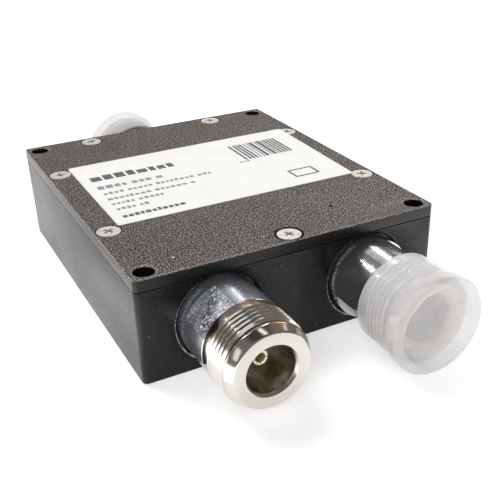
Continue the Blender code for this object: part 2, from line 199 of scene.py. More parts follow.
def seatPiece(piece, coats, nodes, smooth=32):
    # clears what the cuts left without area, brings the piece to metres, gives it its coats and
    # hands it to the frame
    useOnly(piece)
    editMode(True)
    bpy.ops.mesh.select_mode(type="VERT")
    bpy.ops.mesh.select_all(action="SELECT")
    bpy.ops.mesh.dissolve_degenerate(threshold=mergeReach)
    editMode(False)
    piece.scale = (mm, mm, mm)
    bpy.ops.object.transform_apply(location=True, rotation=True, scale=True)
    bpy.ops.object.shade_smooth_by_angle(angle=math.radians(smooth))
    for place, coat in enumerate(coats):
        if place < len(piece.data.materials):
            piece.data.materials[place] = coat
        else:
            piece.data.materials.append(coat)
    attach(piece, "root")
    if nodes:
        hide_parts(*nodes)


# shader arithmetic

class Wire:
    # a socket that takes part in plain arithmetic; each sum adds its Math node
    def __init__(self, tree, socket=None):
        self.tree, self.socket = tree, socket

    def node(self, kind, settings=None, sockets=None, out=0):
        made = self.tree.nodes.new("ShaderNode" + kind)
        for name, value in (settings or {}).items():
            setattr(made, name, value)
        for name, value in (sockets or {}).items():
            if isinstance(value, Wire):
                self.tree.links.new(value.socket, made.inputs[name])
            else:
                made.inputs[name].default_value = value
        return Wire(self.tree, made.outputs[out])

    def math(self, operation, *values):
        return self.node("Math", {"operation": operation}, dict(enumerate(values)))

    def __add__(self, other):
        return self.math("ADD", self, other)

    def __sub__(self, other):
        return self.math("SUBTRACT", self, other)

    def __mul__(self, other):
        return self.math("MULTIPLY", self, other)

    def __rsub__(self, other):
        return self.math("SUBTRACT", other, self)

    __radd__ = __add__
    __rmul__ = __mul__

    def unsigned(self):
        return self.math("ABSOLUTE", self)

    def rise(self, low, high):
        # 0 below low, 1 above high, smooth between
        return self.node("MapRange", {"interpolation_type": "SMOOTHSTEP"},
                         {"Value": self, "From Min": low, "From Max": high})

    def blend(self, low, high):
        # this value mixes two colours
        return self.node("Mix", {"data_type": "RGBA"}, {0: self, 6: low, 7: high}, out=2)

    def noise(self, scale, detail=2, roughness=0.5):
        return self.node("TexNoise", {}, {"Vector": self, "Scale": scale, "Detail": detail,
                                          "Roughness": roughness})

    def cells(self, scale):
        return self.node("TexVoronoi", {}, {"Vector": self, "Scale": scale})

    def stretched(self, x, y, z):
        return self.node("VectorMath", {"operation": "MULTIPLY"}, {0: self, 1: (x, y, z)})

    def part(self, axis):
        return self.node("SeparateXYZ", {}, {"Vector": self}, out="XYZ".index(axis))


def rgb(red, green, blue):
    # a colour as it is read from a screen, from 0 to 255
    def linear(value):
        share = value / 255
        return share / 12.92 if share <= 0.04045 else ((share + 0.055) / 1.055) ** 2.4
    return (linear(red), linear(green), linear(blue), 1)


def addFinish(name, paint, bumpDistance=0.0, bumpStrength=1.0, **fixed):
    # paint gets the place in millimetres and gives what varies over the surface, by socket name;
    # "Height" goes through a Bump node
    finish = bpy.data.materials.new(name)
    finish.use_nodes = True
    tree = finish.node_tree
    shader = tree.nodes["Principled BSDF"]
    for socket, value in fixed.items():
        shader.inputs[socket.replace("_", " ")].default_value = value
    place = Wire(tree).node("TexCoord", out=3)
    place = place.node("VectorMath", {"operation": "SCALE"}, {0: place, "Scale": 1 / mm})
    for socket, wire in paint(place).items():
        if socket == "Height":
            wire = wire.node("Bump", {}, {"Strength": bumpStrength, "Distance": bumpDistance * mm,
                                          "Height": wire})
            socket = "Normal"
        tree.links.new(wire.socket, shader.inputs[socket])
    return finish


# camera

camera = {
    "place": (-61.885, -141.652, 80.630),
    "target": (-22.1038, -66.4905, 34.0821),
    "roll": -1.1146,
    "lens": 56.687,
    "shift": (-0.0351, 0.0480),
}

cameraData = bpy.data.cameras.new("photoCamera")
cameraObject = bpy.data.objects.new("photoCamera", cameraData)
bpy.context.scene.collection.objects.link(cameraObject)
cameraObject.location = Vector(camera["place"]) * mm
aim = Vector(camera["target"]) - Vector(camera["place"])
levelTurn = aim.to_track_quat("-Z", "Y")
cameraObject.rotation_euler = (levelTurn @ Quaternion((0, 0, 1), math.radians(camera["roll"]))).to_euler()
cameraData.sensor_width = 36
cameraData.lens = camera["lens"]
cameraData.shift_x, cameraData.shift_y = camera["shift"]
cameraData.clip_start, cameraData.clip_end = 0.005, 20
bpy.context.scene.camera = cameraObject
bpy.context.scene.view_settings.view_transform = "Standard"


# studio: pale floor, soft boxes and a dim warm room

studio = {
    "roomColour": (0.21, 0.205, 0.198, 1),
    "ceilingColour": (0.06, 0.058, 0.057, 1),
    "lowColour": (0.34, 0.26, 0.19, 1),
    "floorColour": (0.82, 0.82, 0.82, 1),
    "cameraGlow": 0.5,
    # square of the distance from the middle, where the lamps fade and the floor's own white takes over
    "farGlow": (0.06, 0.6),
    # the white that metal and gloss are shown
    "glossGlow": 0.44,
    # a brighter band in front of the jacks: how much, its place along Y, and its reach
    "frontGlow": (0.24, -0.061, (0.004, 0.018)),
    # more of it on both sides of the box: how much, where it starts and ends along X, and along Y
    "leftGlow": (1.15, (-0.0335, -0.041), (0.03, -0.008)),
    "rightGlow": (0.9, (0.03, 0.045), (0.03, 0.005)),
    "boxes": {
        # direction as azimuth from +Y toward +X and elevation, distance, width, height, radiance;
        # the fills are so wide that metal isn't shown them
        "overheadFill": (-20, 52, 1.2, 0.7, 0.7, 6.3),
        "frontFill": (212, 30, 1.2, 0.9, 0.6, 3.9),
        "rightStrip": (28, 47, 1.1, 0.07, 0.56, 6.5),
        "rightHalo": (26, 40, 1.2, 0.34, 0.3, 0.9),
        "middleHalo": (8, 47, 1.2, 0.18, 0.16, 0.7),
        "frontPanel": (183, 22, 1.2, 0.6, 0.2, 0.9),
        "leftStrip": (-26, 48, 1.1, 0.045, 0.54, 8.0),
        "leftHalo": (-24, 40, 1.2, 0.14, 0.3, 0.35),
        "lowLeftPanel": (-36, 18.5, 1.1, 0.08, 0.08, 2.5),
        "lowRightPanel": (40, 20, 1.1, 0.2, 0.12, 1.0),
        "rightSheen": (58, 27, 1.1, 0.3, 0.3, 6.5),
        "warmWindow": (86, 36, 1.2, 0.22, 0.2, 0.9),
        "leftWindow": (-101, 26, 1.2, 0.16, 0.5, 1.1),
        "ceilingPanel": (140, 79, 1.1, 0.12, 0.3, 1.8),
    },
}


def floorGlow(tree, sizes):
    # the white that the floor adds for rays of the camera, and for those of gloss and of glass
    path = tree.nodes.new("ShaderNodeLightPath")
    gloss = Wire(tree, path.outputs["Is Glossy Ray"])
    gloss = gloss.math("MAXIMUM", gloss, Wire(tree, path.outputs["Is Transmission Ray"]))
    place = Wire(tree).node("TexCoord", out=3)
    across, along = place.part("X"), place.part("Y")
    glow = sizes["glossGlow"]
    for side in ("leftGlow", "rightGlow"):
        extra, outward, forward = sizes[side]
        glow = glow + extra * across.rise(*outward) * along.rise(*forward)
    extra, middle, reach = sizes["frontGlow"]
    glow = glow + extra * (1 - (along - middle).unsigned().rise(*reach))
    far = (across * across + along * along).rise(*sizes["farGlow"])
    seen = sizes["cameraGlow"] + (1 - sizes["cameraGlow"]) * far
    return Wire(tree, path.outputs["Is Camera Ray"]) * seen + gloss * glow


world = bpy.data.worlds.new("studioRoom")
bpy.context.scene.world = world
world.use_nodes = True
room = world.node_tree
isCamera = Wire(room, room.nodes.new("ShaderNodeLightPath").outputs["Is Camera Ray"])
height = Wire(room).node("TexCoord", out=0).part("Z")
wallColour = height.rise(0, 0.2).blend(studio["lowColour"], studio["roomColour"])
wallColour = height.rise(0.84, 0.95).blend(wallColour, studio["ceilingColour"])
roomColour = isCamera.blend(wallColour, (1, 1, 1, 1))
room.links.new(roomColour.socket, room.nodes["Background"].inputs["Color"])

bpy.ops.object.select_all(action="DESELECT")
bpy.ops.mesh.primitive_plane_add(size=6, location=(0, 0, -0.0001))
floor = bpy.context.object
floor.name = "studioFloor"
floorFinish = bpy.data.materials.new("floorWhite")
floorFinish.use_nodes = True
floorTree = floorFinish.node_tree
floorShader = floorTree.nodes["Principled BSDF"]
floorShader.inputs["Base Color"].default_value = studio["floorColour"]
floorShader.inputs["Roughness"].default_value = 1
floorShader.inputs["Specular IOR Level"].default_value = 0
floorShader.inputs["Emission Color"].default_value = (1, 1, 1, 1)
floorTree.links.new(floorGlow(floorTree, studio).socket, floorShader.inputs["Emission Strength"])
floor.data.materials.append(floorFinish)

for name, (azimuth, elevation, distance, width, height, radiance) in studio["boxes"].items():
    turn, lift = math.radians(azimuth), math.radians(elevation)
    direction = Vector((math.sin(turn) * math.cos(lift), math.cos(turn) * math.cos(lift), math.sin(lift)))
    lampData = bpy.data.lights.new(name, "AREA")
    lampData.shape = "RECTANGLE"
    lampData.size, lampData.size_y = width, height
    lampData.energy = radiance * math.pi * width * height
    lamp = bpy.data.objects.new(name, lampData)
    lamp.location = direction * distance
    lamp.rotation_euler = direction.to_track_quat("Z", "Y").to_euler()
    lamp.visible_glossy = not name.endswith("Fill")
    bpy.context.scene.collection.objects.link(lamp)
print("studio set")


# finishes

# where a finish changes along an axis, in millimetres
zones = {
    "coarseAlong": (-38, -6),
    "coarseAcross": (-29.6, -29),
    "leftSeatEnd": (-20.0, -18.0),
    "rightSeatStart": (2.0, 4.0),
    "rightSeatEnd": (10.5, 12.5),
    "hubEnd": (44.6, 44.9),
    "leftJackEnd": (-6, -4),
    "threadStart": (45.0, 45.6),
    "threadEnd": (51.4, 52.0),
    "rearCap": (30, 36),
}
threadPitch = 1.058


def paintHousing(place):
    peel = place.noise(0.9, 2, 0.6)
    cloud = place.noise(0.09, 3, 0.55)
    grain = place.noise(2.6, 2, 0.6)
    dusty = place.noise(0.12, 1).rise(0.5, 0.66)
    speck = (1 - place.cells(0.8).rise(0.1, 0.16)) * dusty * place.noise(0.6, 1).rise(0.5, 0.6)
    coarse = 1 - place.part("Y").rise(*zones["coarseAlong"])
    coarse = coarse * (1 - place.part("X").rise(*zones["coarseAcross"]))
    base = cloud.rise(0.3, 0.7).blend(rgb(8, 8, 8), rgb(15, 14, 15))
    return {
        "Base Color": (0.8 * speck).blend(base, rgb(126, 124, 118)),
        "Roughness": 0.16 + 0.1 * cloud + 0.14 * grain + 0.2 * speck,
        "Height": 0.6 * peel + (0.4 + 1.1 * coarse) * grain,
    }


def paintSeatEdge(place):
    # the chamfer round a jack's seat, rubbed bright in places; the bright paint sits on the left side of
    # each seat only and is partly a painted highlight
    across = place.part("X")
    left = 1 - across.rise(*zones["leftSeatEnd"])
    right = across.rise(*zones["rightSeatStart"]) * (1 - across.rise(*zones["rightSeatEnd"]))
    # bright paint on the left side of each seat: worn paint and a painted highlight
    rubbedAndHighlit = (left + right) * place.noise(2.2, 2, 0.7).rise(0.36, 0.54)
    return {"Base Color": rubbedAndHighlit.blend(rgb(12, 12, 12), rgb(214, 212, 206)),
            "Roughness": 0.2 + 0.2 * rubbedAndHighlit, "Metallic": 0.5 * rubbedAndHighlit}


# wear and painted shade on the lid, as place, radius and colour: a pit painted near black as painted
# shade, a white speck, and scuffs beside the front screw
lidWearAndPitShade = [
    ((12.8, -26.7, 20.3), 0.52, rgb(8, 7, 7)),
    ((13.5, -26.4, 20.3), 0.3, rgb(170, 140, 116)),
    ((-21.2, -31.2, 20.3), 0.26, rgb(255, 254, 250)),
    ((-3.3, -32.4, 20.3), 0.42, rgb(24, 21, 20)),
    ((-4.1, -32.8, 20.3), 0.32, rgb(24, 21, 20)),
    ((-4.5, -31.9, 20.3), 0.36, rgb(150, 142, 138)),
]


def paintLid(place):
    grain = place.noise(3.1, 1, 0.6)
    fine = place.noise(6.2, 1, 0.5)
    salt = (0.7 * grain + 0.3 * fine).rise(0.52, 0.575)
    base = salt.blend(rgb(9, 7, 6), rgb(174, 163, 155))
    worn = place.noise(0.22, 2, 0.5).rise(0.35, 0.75)
    base = (0.2 * worn).blend(base, rgb(66, 58, 54))
    # the pit's near-black disc is painted shade; the specks and scuffs are wear
    for spot, radius, shade in lidWearAndPitShade:
        away = place.node("VectorMath", {"operation": "DISTANCE"}, {0: place, 1: spot}, out=1)
        base = (1 - (away + 0.2 * grain).rise(radius, radius + 0.12)).blend(base, shade)
    return {
        "Base Color": base,
        "Roughness": 0.36 + 0.16 * grain,
        "Height": grain + 0.5 * fine,
    }


def paintRimWearAndHighlight(place):
    # the lid's upper edge, where the coat is thin: painted lighter, as worn coat and as a painted edge
    # highlight
    grain = place.noise(4.5, 1, 0.6)
    base = grain.rise(0.42, 0.6).blend(rgb(56, 52, 50), rgb(178, 172, 166))
    return {"Base Color": base, "Roughness": 0.34 + 0.2 * grain}


def paintLabel(place):
    soft = place.noise(0.15, 2)
    return {
        "Base Color": soft.rise(0.3, 0.75).blend(rgb(243, 243, 240), rgb(247, 247, 245)),
        "Roughness": 0.38 + 0.12 * soft,
        "Height": place.noise(0.35, 2),
    }


def paintInk(shade):
    def paint(place):
        wear = place.noise(2.2, 2)
        return {"Base Color": wear.rise(0.45, 0.8).blend(shade, rgb(150, 150, 150)),
                "Roughness": 0.4 + 0.2 * wear}
    return paint


def paintNickel(place):
    # the hub behind the barrel is duller, most on the left jack; the barrel and nose are bright, with tan
    # patches painted on the side that faces up and to the right as a painted reflection of brown
    # surroundings
    along = place.part("Y")
    hub = 1 - along.unsigned().rise(*zones["hubEnd"])
    dull = 1 - place.part("X").rise(*zones["leftJackEnd"])
    haze = place.noise(0.45, 2, 0.5)
    scuffs = place.noise(3.0, 2, 0.7).rise(0.64, 0.72) * place.noise(0.3, 1).rise(0.42, 0.58) * hub * dull
    normal = place.node("TexCoord", out=1)
    side = normal.node("VectorMath", {"operation": "DOT_PRODUCT"}, {0: normal, 1: (0.6, 0, 0.8)}, out=1)
    patches = place.stretched(1, 0.7, 1).noise(0.5, 2, 0.6)
    # tan patches on faces turned up and to the right: a painted reflection, not tarnish
    paintedReflection = patches.rise(0.44, 0.58) * side.rise(0.6, 0.9) * (1 - hub)
    base = paintedReflection.blend(rgb(205, 201, 194), rgb(176, 142, 104))
    base = hub.blend(base, dull.blend(rgb(206, 205, 207), rgb(188, 192, 200)))
    return {
        "Base Color": (0.4 * scuffs).blend(base, rgb(200, 203, 210)),
        "Roughness": 0.12 + 0.04 * haze + 0.1 * paintedReflection + hub * dull * 0.08 + 0.16 * scuffs,
        "Metallic": 1 - 0.2 * paintedReflection - hub * (0.07 + 0.1 * dull),
        "Height": (1 - 0.85 * hub) * place.noise(0.5, 2),
    }


def paintMilled(place):
    mottle = place.noise(2.2, 4, 0.75)
    patches = place.noise(0.35, 2, 0.6).rise(0.4, 0.6)
    marks = mottle.rise(0.5, 0.62)
    # near-white specks with little metal: scuffs with painted glints
    scuffsAndGlints = place.noise(2.3, 1).rise(0.6, 0.65)
    dark = patches.blend(rgb(96, 102, 118), rgb(166, 170, 180))
    return {
        "Base Color": scuffsAndGlints.blend(marks.blend(dark, rgb(232, 234, 238)), rgb(254, 254, 254)),
        "Roughness": 0.3 + 0.2 * mottle,
        "Metallic": 0.62 - 0.4 * scuffsAndGlints,
        "Height": mottle,
    }


def paintSocket(place):
    # the dull wall inside a jack
    soft = place.stretched(1, 0.25, 1).noise(0.9, 3, 0.6)
    return {"Base Color": soft.rise(0.35, 0.7).blend(rgb(188, 178, 166), rgb(216, 208, 196)),
            "Roughness": 0.22 + 0.14 * soft}


def paintGrooveDirtAndShade(place):
    # the grooves of the barrel painted dark brown: dirt and painted shade
    soft = place.noise(1.8, 3, 0.6)
    return {"Base Color": soft.blend(rgb(44, 38, 32), rgb(84, 74, 64)), "Roughness": 0.35 + 0.2 * soft,
            "Metallic": 0.4 + 0.3 * soft}


def paintRecess(place):
    grime = place.noise(2.6, 3, 0.7)
    return {"Base Color": grime.rise(0.42, 0.58).blend(rgb(104, 94, 78), rgb(212, 206, 193)),
            "Roughness": 0.4 + 0.3 * grime, "Metallic": 0.2 + 0.4 * grime, "Height": grime}


def paintScrew(place):
    grime = place.noise(1.7, 3, 0.75)
    dark = grime.rise(0.55, 0.7)
    return {
        "Base Color": dark.blend(rgb(238, 233, 226), rgb(120, 108, 90)),
        "Roughness": 0.3 + 0.3 * grime,
        "Metallic": 0.55 - 0.3 * dark,
        "Height": grime,
    }


def paintInsulator(place):
    soft = place.noise(0.8, 2)
    return {"Base Color": soft.blend(rgb(226, 222, 210), rgb(240, 238, 230)),
            "Roughness": 0.4 + 0.15 * soft}


def paintGold(place):
    soft = place.noise(1.4, 3, 0.6)
    return {"Base Color": soft.rise(0.4, 0.7).blend(rgb(224, 206, 160), rgb(188, 166, 118)),
            "Roughness": 0.4 + 0.2 * soft, "Metallic": 0.55 + 0.2 * soft, "Height": soft}


def paintContact(place):
    soft = place.noise(1.4, 3, 0.6)
    return {"Base Color": soft.rise(0.4, 0.7).blend(rgb(232, 228, 218), rgb(206, 196, 176)),
            "Roughness": 0.16 + 0.2 * soft, "Height": soft}


def paintCap(place):
    # cloudy soft plastic, clearer where it is seen straight on, pressed against the thread inside; the
    # rear cap is painted greyer as painted shade
    cloud = place.noise(0.22, 3, 0.55)
    edge = place.node("LayerWeight", {}, {"Blend": 0.35}, out=1)
    along = place.part("Y")
    reach = along.unsigned()
    pressed = reach.rise(*zones["threadStart"]) * (1 - reach.rise(*zones["threadEnd"]))
    pressed = pressed * place.noise(0.25, 1).rise(0.35, 0.6)
    turns = math.tau / threadPitch * along
    rings = pressed * turns.math("SINE", turns)
    # the rear cap is painted greyer: painted shade
    paintedRearShade = 0.75 * along.rise(*zones["rearCap"])
    base = cloud.blend(rgb(243, 242, 245), rgb(252, 250, 248))
    return {
        "Base Color": paintedRearShade.blend(base, rgb(206, 204, 204)),
        "Roughness": 0.3 + 0.12 * cloud,
        "Alpha": 0.33 + 0.14 * cloud + 0.12 * rings + 0.36 * edge * edge,
        "Height": place.noise(0.5, 2),
    }


def paintLaminate(place):
    weave = place.noise(2.6, 2)
    return {"Base Color": weave.blend(rgb(196, 190, 160), rgb(214, 208, 180)),
            "Roughness": 0.42 + 0.2 * weave, "Height": weave}


def paintCopper(place):
    soft = place.noise(0.7, 3)
    return {"Base Color": soft.blend(rgb(202, 134, 96), rgb(224, 160, 118)),
            "Roughness": 0.2 + 0.2 * soft, "Height": soft}


def paintResistor(place):
    soft = place.noise(3.0, 2)
    return {"Base Color": soft.blend(rgb(22, 22, 23), rgb(34, 33, 33)),
            "Roughness": 0.4 + 0.2 * soft, "Height": soft}


finishes = {
    "housing": addFinish("housingPaint", paintHousing, 0.09, 0.7, IOR=1.38),
    "seatEdge": addFinish("seatEdge", paintSeatEdge, IOR=1.5),
    "lid": addFinish("lidCoat", paintLid, 0.08, 1.0, IOR=1.38),
    "rim": addFinish("lidRimWearAndHighlight", paintRimWearAndHighlight, IOR=1.5),
    "label": addFinish("labelFilm", paintLabel, 0.02, 0.3, IOR=1.45),
    "ink": addFinish("printInk", paintInk(rgb(84, 84, 88))),
    "paleInk": addFinish("paleInk", paintInk(rgb(150, 150, 153))),
    "nickel": addFinish("jackNickel", paintNickel, 0.02, 0.2),
    "milled": addFinish("milledNickel", paintMilled, 0.04, 0.5),
    "socket": addFinish("socketNickel", paintSocket, Metallic=1),
    "groove": addFinish("grooveDirtAndShade", paintGrooveDirtAndShade),
    "recess": addFinish("recessGrime", paintRecess, 0.06, 0.6),
    "screw": addFinish("screwSteel", paintScrew, 0.04, 0.4),
    "insulator": addFinish("insulatorWhite", paintInsulator),
    "gold": addFinish("contactGold", paintGold, 0.02, 0.2),
    "contact": addFinish("contactSilver", paintContact, 0.02, 0.2, Metallic=1),
    "cap": addFinish("capPlastic", paintCap, 0.04, 0.3, IOR=1.45),
    "laminate": addFinish("boardLaminate", paintLaminate, 0.02, 0.3),
    "copper": addFinish("trackCopper", paintCopper, 0.02, 0.2, Metallic=1),
    "resistor": addFinish("resistorBlack", paintResistor, 0.02, 0.3),
}
print("finishes mixed")


# shared places

box = {
    "halfWidth": 30.0,
    "halfDepth": 35.85,
    "housingTop": 17.9,
    "lidUnderside": 18.0,
    "lidTop": 20.3,
    "cornerRadius": 1.0,
    "jackHeight": 9.2,
    "mountHoles": [(sx * 27.15, sy * 33.2) for sx in (-1, 1) for sy in (-1, 1)],
    "lidScrews": {
        "front": (0.0, -33.13), "left_front": (-27.28, -15.8), "left_rear": (-27.28, 15.8),
        "right_front": (27.28, -15.8), "right_rear": (27.28, 15.8),
        "rear_left": (-15.2, 33.13), "rear_right": (15.2, 33.13),
    },
}

# name, place along X, way along Y, angle of the wrench flats and whether it wears a dust cap
jacks = [("left", -15, -1, 130, False), ("right", 15, -1, 38.5, True), ("rear", 0, 1, 68, True)]


def ontoJack(piece, x, way, rise=0.0):
    # local Z becomes the jack's axis, from the wall's outer face outward
    turnAndMove(piece, (-way * math.pi / 2, 0, 0), (x, way * box["halfDepth"], box["jackHeight"] + rise))


# housing

housingSizes = {
    "pocketFloor": 7.3,
    "pocketHalf": (24.6, 29.85),
    "pocketRadius": 3.0,
    "mountRadius": 1.65,
    "rim": 0.2,
    "edgeRound": 0.3,
    "topRound": 0.08,
    "screwHole": (1.25, 12.6),
    "boardHole": (1.2, 3.5),
    "boardScrews": [(sx * 21.5, sy * 26.75) for sx in (-1, 1) for sy in (-1, 1)],
    "seatRadius": 8.36,
    "seatDepth": 1.5,
    "seatChamfer": 0.26,
    "boreRadius": 5.9,
    "boreDepth": 7.5,
}


def makeHousing(sizes):
    x, y, top = box["halfWidth"], box["halfDepth"], box["housingTop"]
    housing = addBlock("housing_shell", (-x, -y, 0), (x, y, top))
    roundUprights(housing, box["cornerRadius"], 6)
    roundOutline(housing, 0, sizes["edgeRound"], 3)
    roundOutline(housing, top, sizes["topRound"], 2)

    px, py = sizes["pocketHalf"]
    pocket = addBlock("pocket", (-px, -py, sizes["pocketFloor"]), (px, py, top + 1))
    roundUprights(pocket, sizes["pocketRadius"], 8)
    cutAway(housing, pocket)

    drills = []
    radius, rim = sizes["mountRadius"], sizes["rim"]
    for place in box["mountHoles"]:
        profile = [(radius + rim + 1, -1), (radius + rim, 0), (radius, rim), (radius, top + 1)]
        drill = turnPiece("drill", profile, 32)
        turnAndMove(drill, place=(*place, 0))
        drills.append(drill)
    radius, low = sizes["screwHole"]
    for place in box["lidScrews"].values():
        drill = turnPiece("drill", [(0.01, low - 0.5), (radius, low), (radius, top + 1)], 24)
        turnAndMove(drill, place=(*place, 0))
        drills.append(drill)
    radius, low = sizes["boardHole"]
    for place in sizes["boardScrews"]:
        profile = [(0.01, low - 0.5), (radius, low), (radius, sizes["pocketFloor"] + 1)]
        drill = turnPiece("drill", profile, 24)
        turnAndMove(drill, place=(*place, 0))
        drills.append(drill)
    seat, depth = sizes["seatRadius"], sizes["seatDepth"]
    chamfer, bore = sizes["seatChamfer"], sizes["boreRadius"]
    for name, jackX, way, angle, capped in jacks:
        profile = [(bore, -sizes["boreDepth"]), (bore, -depth), (seat, -depth), (seat, -chamfer),
                   (seat + 0.12, -chamfer / 3), (seat + chamfer, 0), (seat + chamfer + 1, 1)]
        seatCutter = turnPiece("seat", profile, 96)
        ontoJack(seatCutter, jackX, way)
        drills.append(seatCutter)
    for drill in drills:
        cutAway(housing, drill)
    # the sloping faces round each seat
    giveSlot(housing, 1, lambda centre, normal: 0.1 < abs(normal.y) < 0.95 and abs(centre.y) > y - 0.35
             and any(math.hypot(centre.x - jackX, centre.z - box["jackHeight"]) < seat + chamfer
                     for _, jackX, _, _, _ in jacks))
    seatPiece(housing, [finishes["housing"], finishes["seatEdge"]], ["housing"])


makeHousing(housingSizes)
print("housing made")


# lid

lidSizes = {
    "edgeRound": 0.22,
    "mountRadius": 1.88,
    "rim": 0.32,
    "undersideRound": 0.06,
    "screwRadius": 2.2,
    "screwReach": 3.2,
    "screwGap": 0.22,
    "wideGap": {"front": 0.5},
    "land": 0.15,
    "shankRadius": 1.25,
    "coneDepth": 1.32,
    "pitPlace": (12.8, -26.7),
    "pitProfile": [(0.1, -0.34), (0.46, -0.03), (0.62, 0.3)],
}


def makeLid(sizes):
    x, y, low, top = box["halfWidth"], box["halfDepth"], box["lidUnderside"], box["lidTop"]
    lid = addBlock("lid_plate", (-x, -y, low), (x, y, top))
    roundUprights(lid, box["cornerRadius"], 6)
    roundOutline(lid, top, sizes["edgeRound"], 3)
    roundOutline(lid, low, sizes["undersideRound"], 1)
    radius, rim = sizes["mountRadius"], sizes["rim"]
    for place in box["mountHoles"]:
        profile = [(radius, low - 1), (radius, top - rim), (radius + rim * 0.3, top - rim * 0.3),
                   (radius + rim, top), (radius + rim + 1, top + 0.5)]
        hole = turnPiece("hole", profile, 40)
        turnAndMove(hole, place=(*place, 0))
        cutAway(lid, hole)
    for name, place in box["lidScrews"].items():
        head = sizes["screwRadius"] + sizes["wideGap"].get(name, sizes["screwGap"])
        shank, land = sizes["shankRadius"], sizes["land"]
        profile = [(shank, low - 1), (shank, top - land - sizes["coneDepth"]), (head, top - land),
                   (head, top - 0.06), (head + 0.06, top), (head + 0.4, top + 0.4)]
        sink = turnPiece("sink", profile, 48)
        turnAndMove(sink, place=(*place, 0))
        cutAway(lid, sink)
    pit = turnPiece("pit", sizes["pitProfile"], 9)
    turnAndMove(pit, (0, 0, 0.4), (*sizes["pitPlace"], top))
    cutAway(lid, pit)

    def near(centre, places, reach):
        return any(math.hypot(centre.x - a, centre.y - b) < reach for a, b in places)

    sunk, edge = top - sizes["land"] / 2, 0.3
    # walls, underside and countersinks are plain paint, and the worn rim, painted lighter with a painted
    # edge highlight, runs round the top and its holes
    giveSlot(lid, 1, lambda centre, normal: normal.z < 0.3 or (
        centre.z < sunk and near(centre, box["lidScrews"].values(), sizes["screwReach"])))
    giveSlot(lid, 2, lambda centre, normal: 0.25 < normal.z < 0.98 and centre.z > top - edge and (
        abs(centre.x) > x - edge or abs(centre.y) > y - edge
        or near(centre, box["mountHoles"], radius + rim + 0.1)))
    seatPiece(lid, [finishes["lid"], finishes["housing"], finishes["rim"]], ["lid"])


makeLid(lidSizes)
print("lid made")


# lid screws, one modelled and the others copied

screwSizes = {
    "head": 2.2,
    "land": 0.15,
    "shank": 1.05,
    "coneDepth": 1.32,
    "end": -7.4,
    "point": 0.6,
    "sunk": 0.02,
    "crossWidth": 0.62,
    "crossSpan": 2.9,
    "crossDepth": 0.36,
    "crossTaper": (0.42, 0.62),
    "recessReach": 1.4,
    "turns": {"front": 20, "left_front": 35, "left_rear": 5, "right_front": 60, "right_rear": 48,
              "rear_left": 12, "rear_right": 70},
}


def makeScrew(sizes):
    head, shank, land = sizes["head"], sizes["shank"], sizes["land"]
    end, width, depth = sizes["end"], sizes["crossWidth"], sizes["crossDepth"]
    profile = [(0.2, end), (shank, end + sizes["point"]), (shank, -land - sizes["coneDepth"]),
               (head - 0.03, -land), (head, -land + 0.04), (head, -0.06),
               (head - 0.05, -0.015), (head - 0.25, 0), (0.9, 0), (0.2, 0)]
    screw = turnPiece("screw", profile, 48)
    half = sizes["crossSpan"] / 2
    for turn in (0, math.pi / 2):
        bar = addBlock("bar", (-half, -width / 2, -depth), (half, width / 2, 0.4))
        pickFaces(bar, lambda centre, normal: normal.z < -0.9)
        bpy.ops.transform.resize(value=(*sizes["crossTaper"], 1), center_override=(0, 0, -depth))
        editMode(False)
        turnAndMove(bar, (0, 0, turn))
        cutAway(screw, bar)
    giveSlot(screw, 1, lambda centre, normal: -depth - 0.1 < centre.z < -0.02
             and centre.xy.length < sizes["recessReach"])
    return screw


masterScrew = makeScrew(screwSizes)
for name, (x, y) in box["lidScrews"].items():
    screw = copyPiece(masterScrew, "screw_" + name)
    turn = math.radians(screwSizes["turns"][name])
    turnAndMove(screw, (0, 0, turn), (x, y, box["lidTop"] - screwSizes["sunk"]))
    seatPiece(screw, [finishes["screw"], finishes["recess"]], ["lid_screw_" + name])
bpy.data.objects.remove(masterScrew, do_unlink=True)
print("screws made")


# label and its generic print

labelSizes = {
    "corners": [(-25.1, -14.9), (25.6, -15.0), (26.5, 17.8), (-25.1, 17.8)],
    "bottom": 20.36,
    "top": 20.5,
    "printTop": 20.53,
    "printSunk": 0.02,
    "cornerRadius": 0.6,
    "seed": 7,
    # left end, right end, middle height, letter height, letter width, gap, ink
    "rows": [
        (-22.9, -4.2, 9.0, 2.7, 1.8, 0.55, "ink"),
        (-23.0, -9.0, 3.8, 1.7, 1.15, 0.4, "paleInk"),
        (-22.9, 1.3, 0.4, 1.1, 0.8, 0.34, "paleInk"),
        (-23.0, -4.1, -2.6, 1.1, 0.8, 0.34, "paleInk"),
        (-23.0, -12.2, -5.2, 1.1, 0.8, 0.34, "paleInk"),
        (-23.0, -16.3, -7.9, 1.1, 0.8, 0.34, "paleInk"),
        (-23.1, -10.1, -11.6, 1.4, 0.85, 0.3, "ink"),
        (8.2, 10.6, 2.4, 0.6, 0.5, 0.3, "paleInk"),
    ],
    "bars": (10.1, 21.8, 3.2, 12.6),
    "frameMark": (14.3, 20.0, -11.2, -7.2, 0.45),
}


def makeLabel(sizes):
    label = addBlock("label_film", (-25, -15, sizes["bottom"]), (25, 15, sizes["top"]))
    for vertex in label.data.vertices:
        index = (0 if vertex.co.y < 0 else 2) + (1 if (vertex.co.x > 0) == (vertex.co.y < 0) else 0)
        vertex.co.x, vertex.co.y = sizes["corners"][index]
    pickEdges(label, lambda a, b: abs(a.z - b.z) > 0.1)
    bpy.ops.mesh.bevel(offset=sizes["cornerRadius"], segments=5, affect="EDGES")
    editMode(False)
    seatPiece(label, [finishes["label"]], ["label"])


